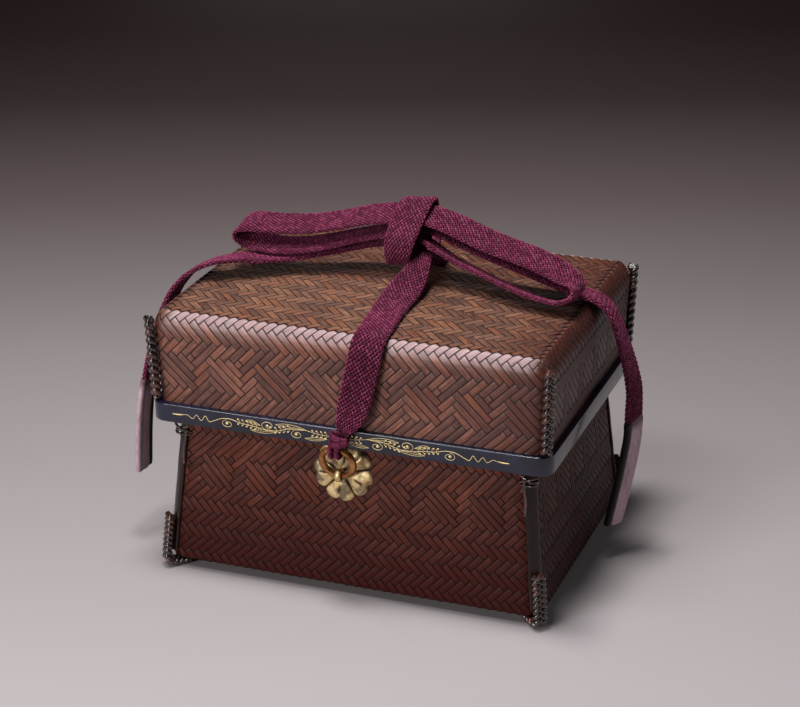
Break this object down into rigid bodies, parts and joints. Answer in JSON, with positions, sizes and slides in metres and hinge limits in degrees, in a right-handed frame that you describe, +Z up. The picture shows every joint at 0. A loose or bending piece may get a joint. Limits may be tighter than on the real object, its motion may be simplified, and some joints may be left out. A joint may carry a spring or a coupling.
{
  "type": "tea utensil box",
  "caption": "Woven bamboo box with a deep lift-off lid, lacquered rim hoop, laced corners and feet, and a flat braided cord tied over the lid between rings on flower plates.",
  "frame": {"origin": "middle of the footprint, on the surface the feet stand on", "axes": "+Z up, +X to the right along the long side, front towards -Y"},
  "size_m": [0.2411, 0.1614, 0.1725],
  "materials": {
    "weave_base": "dark smoked bamboo, twill woven, satin",
    "weave_lid": "dark smoked bamboo, twill woven, satin",
    "lacquer": "black lacquer, glossy, with a gold scroll on the band",
    "lace": "dark lacquered rattan lacing, glossy",
    "strip": "split bamboo, polished",
    "plate_brass": "gilt brass, worn, with dark patina in the grooves",
    "ring_brass": "brown patinated brass",
    "cord": "flat braided silk cord, plum purple",
    "cord_tip": "dull mauve bound end of the cord"
  },
  "bodies": {
    "base": {"base_basket": "weave_base", "mouth_hoop_outer": "lacquer", "mouth_hoop_inner": "lacquer", "corner_strip_fl": "strip", "corner_bind_fl": "lace", "foot_lace_fl": "lace", "corner_strip_fr": "strip", "corner_bind_fr": "lace", "foot_lace_fr": "lace", "corner_strip_bl": "strip", "corner_bind_bl": "lace", "foot_lace_bl": "lace", "corner_strip_br": "strip", "corner_bind_br": "lace", "foot_lace_br": "lace", "flower_plate_front": "plate_brass", "staple_front": "plate_brass", "flower_plate_back": "plate_brass", "staple_back": "plate_brass"},
    "lid": {"lid_shell": "weave_lid", "lid_band": "lacquer", "lid_inner_hoop": "lacquer", "lid_lace_fl": "lace", "lid_lace_fr": "lace", "lid_lace_bl": "lace", "lid_lace_br": "lace", "cord_strap_front": "cord", "cord_strap_back": "cord", "cord_loop_left": "cord", "cord_loop_right": "cord", "cord_tail_left": "cord", "cord_tail_right": "cord", "cord_knot": "cord", "cord_tip_left": "cord_tip", "cord_tip_right": "cord_tip"},
    "front_ring": {"ring_front": "ring_brass", "cord_hitch_front": "cord"},
    "back_ring": {"ring_back": "ring_brass", "cord_hitch_back": "cord"}
  },
  "joints": [
    {"name": "lid_lift", "type": "slide", "parent": "base", "child": "lid", "axis": [0, 0, 1], "range_m": [0, 0.06]},
    {"name": "front_ring_swing", "type": "hinge", "parent": "base", "child": "front_ring", "pos_m": [-0.0036, -0.0704, 0.064], "axis": [1, 0, 0], "range_deg": [0, 120]},
    {"name": "back_ring_swing", "type": "hinge", "parent": "base", "child": "back_ring", "pos_m": [0.0036, 0.0704, 0.064], "axis": [-1, 0, 0], "range_deg": [0, 120]}
  ]
}
